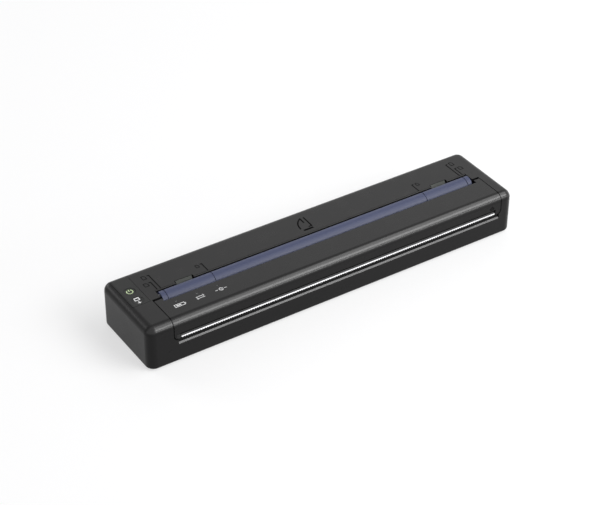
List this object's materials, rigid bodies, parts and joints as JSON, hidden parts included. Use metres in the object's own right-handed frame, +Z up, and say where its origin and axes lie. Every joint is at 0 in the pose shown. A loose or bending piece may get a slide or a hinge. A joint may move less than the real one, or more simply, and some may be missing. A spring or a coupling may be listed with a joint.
{
  "type": "a4 portable thermal printer",
  "caption": "Slim portable thermal printer: hinged release cover with guide bar, tear strip and platen over a print head, geared motor, two keys and a battery flap.",
  "frame": {"origin": "centre of the bounding box in plan, on the table under the rubber feet", "axes": "+X along the case towards the end with the sockets, +Y towards the rear (battery flap), -Y where the paper comes out, +Z up"},
  "size_m": [0.255, 0.055, 0.03],
  "materials": {
    "case_black": "fine moulded texture, satin black",
    "cover_black": "fine moulded texture, satin black",
    "bar_blue": "smooth lavender-blue plastic",
    "tear_steel": "bright rolled steel",
    "key_black": "satin black",
    "tab_grey": "satin grey",
    "rubber_black": "matt rubber",
    "steel": "ground steel",
    "screw_steel": "black zinc",
    "gear_white": "natural acetal",
    "brass": "turned brass",
    "bronze": "sintered bronze",
    "aluminium": "extruded aluminium",
    "chassis_steel": "zinc-plated sheet",
    "ceramic": "glazed ceramic",
    "ribbon": "flat flexible cable",
    "board_green": "solder mask",
    "chip_black": "moulded packages",
    "guide_clear": "clear acrylic",
    "motor_can": "nickel-plated can",
    "cell_black": "moulded pack",
    "socket_black": "moulded socket"
  },
  "bodies": {
    "printer": {"main_case": "case_black", "bottom_cover": "case_black", "rubber_feet": "rubber_black", "case_screws": "screw_steel", "button_panel": "key_black", "key_board": "board_green", "key_switches": "chip_black", "led_board": "board_green", "left_paper_tab": "tab_grey", "right_paper_tab": "tab_grey", "paper_chute": "socket_black", "paper_sensor": "chip_black", "chassis": "chassis_steel", "print_head": "ceramic", "head_heatsink": "aluminium", "head_springs": "steel", "head_cable": "ribbon", "reduction_axle": "steel", "motor_body": "motor_can", "main_board": "board_green", "board_parts": "chip_black", "usb_port": "steel", "dc_jack": "socket_black", "battery_pack": "cell_black", "battery_contacts": "brass", "battery_hinge_pins": "steel"},
    "release_cover": {"release_cover": "cover_black", "guide_bar": "bar_blue", "tear_bar": "tear_steel", "hinge_pins": "steel", "light_guide": "guide_clear", "platen_bushes": "bronze"},
    "platen": {"platen_rubber": "rubber_black", "platen_shaft": "steel", "platen_gear": "gear_white"},
    "drive_train": {"drive_shaft": "steel", "drive_gear": "gear_white", "roller_drive_gear": "gear_white"},
    "reduction": {"reduction_gear": "gear_white"},
    "motor_rotor": {"motor_shaft": "steel", "motor_pinion": "brass"},
    "power_key": {"power_button": "key_black"},
    "feed_key": {"feed_button": "key_black"},
    "battery_flap": {"battery_cover": "case_black"}
  },
  "joints": [
    {"name": "cover_hinge", "type": "hinge", "parent": "printer", "child": "release_cover", "pos_m": [0, -0.00019, 0.0276], "axis": [-1, 0, 0], "range_deg": [0, 95]},
    {"name": "platen_spin", "type": "hinge", "parent": "release_cover", "child": "platen", "pos_m": [0, -0.015, 0.02085], "axis": [1, 0, 0], "continuous": true},
    {"name": "drive_spin", "type": "hinge", "parent": "printer", "child": "drive_train", "pos_m": [0, -0.01047, 0.01302], "axis": [1, 0, 0], "continuous": true},
    {"name": "reduction_spin", "type": "hinge", "parent": "printer", "child": "reduction", "pos_m": [0, 0.00144, 0.01486], "axis": [1, 0, 0], "continuous": true},
    {"name": "motor_spin", "type": "hinge", "parent": "printer", "child": "motor_rotor", "pos_m": [0, 0.0126, 0.0119], "axis": [1, 0, 0], "continuous": true},
    {"name": "power_press", "type": "slide", "parent": "printer", "child": "power_key", "axis": [0, 0, -1], "range_m": [0, 0.0005], "stiffness_N_per_m": 400},
    {"name": "feed_press", "type": "slide", "parent": "printer", "child": "feed_key", "axis": [0, 0, -1], "range_m": [0, 0.0005], "stiffness_N_per_m": 400},
    {"name": "battery_flap_hinge", "type": "hinge", "parent": "printer", "child": "battery_flap", "pos_m": [0.03, 0.0264, 0.0213], "axis": [1, 0, 0], "range_deg": [0, 88]}
  ],
  "couplings": [
    {"joint": "drive_spin", "follows": "platen_spin", "ratio": -1.5714},
    {"joint": "reduction_spin", "follows": "platen_spin", "ratio": 3.8163},
    {"joint": "motor_spin", "follows": "platen_spin", "ratio": -10.813}
  ]
}
